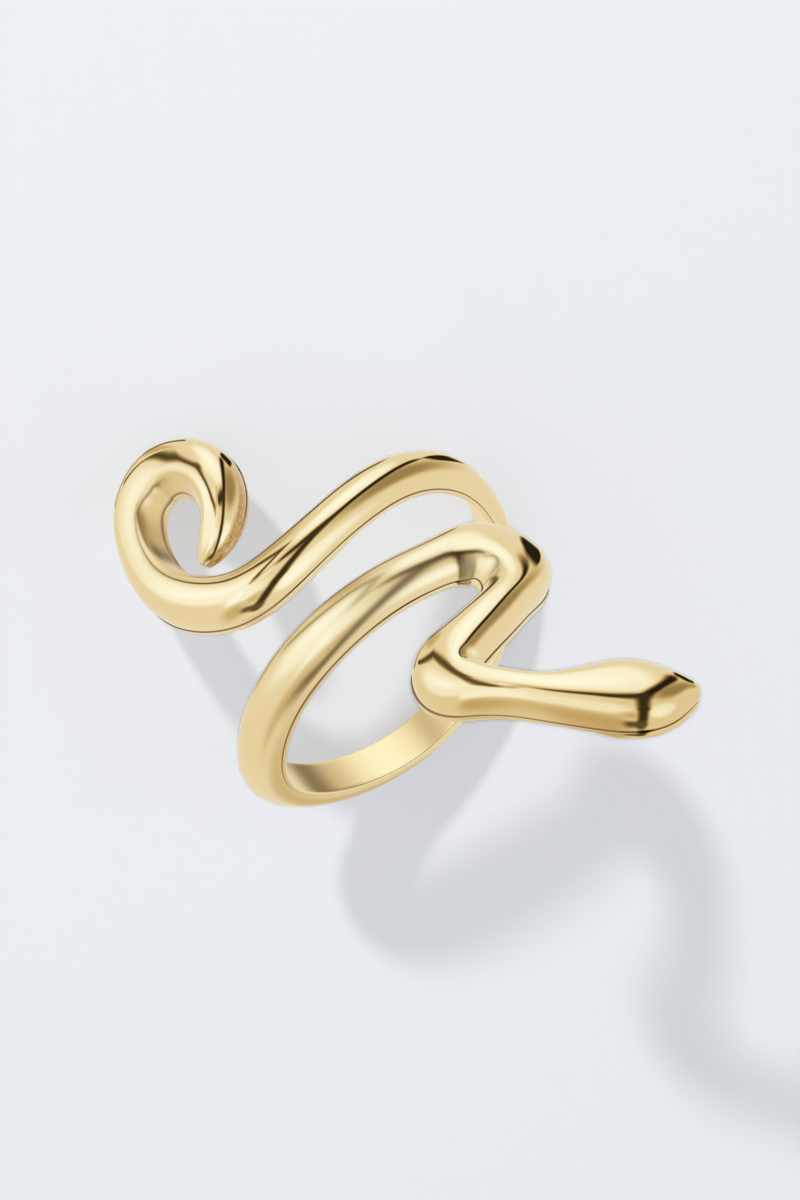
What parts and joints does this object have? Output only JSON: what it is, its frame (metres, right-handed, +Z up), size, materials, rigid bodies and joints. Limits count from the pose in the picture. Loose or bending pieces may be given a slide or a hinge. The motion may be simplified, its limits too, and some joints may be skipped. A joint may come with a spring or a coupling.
{
  "type": "wrap-around snake ring",
  "caption": "Finger ring in the form of a snake: curled tail, rounded body wound once round the finger, zigzag neck and smooth head.",
  "frame": {"origin": "on the surface that the ring lies on, below the middle of its bounding box", "axes": "+Z up as the ring lies on its side; the finger's hole slants up towards +X and -Y; the curled tail lies towards -X and +Y, and the head is the highest point"},
  "size_m": [0.0244, 0.0232, 0.0258],
  "materials": {
    "metal": "polished"
  },
  "bodies": {
    "root": {"snake_ring": "metal"}
  },
  "joints": []
}
